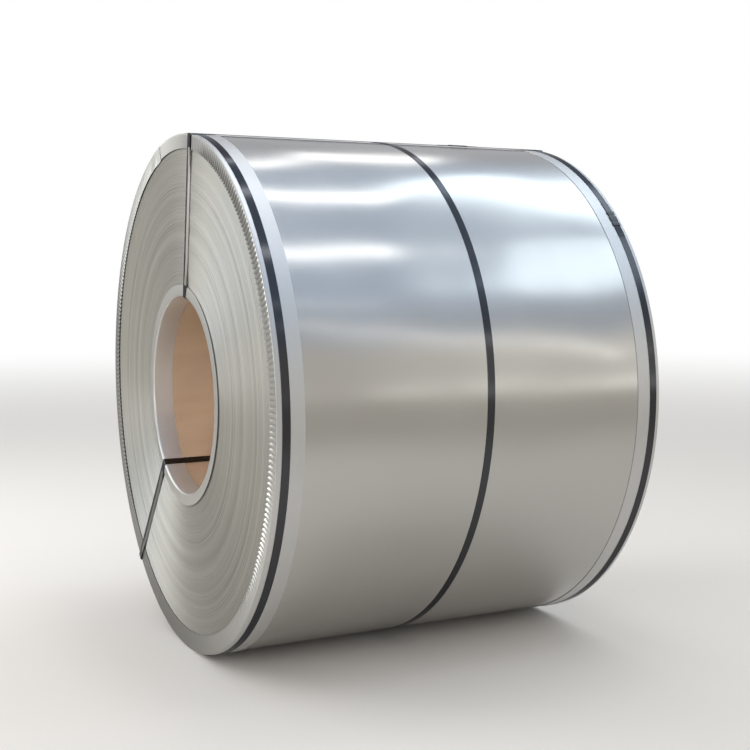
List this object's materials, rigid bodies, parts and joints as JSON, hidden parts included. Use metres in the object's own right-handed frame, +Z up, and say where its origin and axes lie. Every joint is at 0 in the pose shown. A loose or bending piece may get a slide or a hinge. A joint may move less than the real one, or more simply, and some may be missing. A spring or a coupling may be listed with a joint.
{
  "type": "steel coil",
  "caption": "Wound coil of bright steel strip lying on its side, with sheet edge rings, a board-lined eye, and steel strapping around it and through its eye.",
  "frame": {"origin": "on the floor, under the middle of the coil", "axes": "+Z up, +Y along the eye towards the back end, -Y towards the front end"},
  "size_m": [1.3043, 1.009, 1.3044],
  "materials": {
    "strip_steel": "bright satin strip",
    "liner_board": "plain brown board",
    "ring_sheet": "galvanised sheet",
    "strapping": "blue-black waxed steel",
    "strap_seals": "dark steel"
  },
  "bodies": {
    "root": {"coil": "strip_steel", "bore_liner": "liner_board", "outer_edge_ring_front": "ring_sheet", "outer_edge_ring_back": "ring_sheet", "inner_edge_ring_front": "ring_sheet", "inner_edge_ring_back": "ring_sheet", "band_front": "strapping", "band_middle": "strapping", "band_back": "strapping", "eye_strap_upper": "strapping", "eye_strap_lower": "strapping", "seal_front": "strap_seals", "seal_middle": "strap_seals", "seal_back": "strap_seals", "seal_eye_upper": "strap_seals", "seal_eye_lower": "strap_seals"}
  },
  "joints": []
}
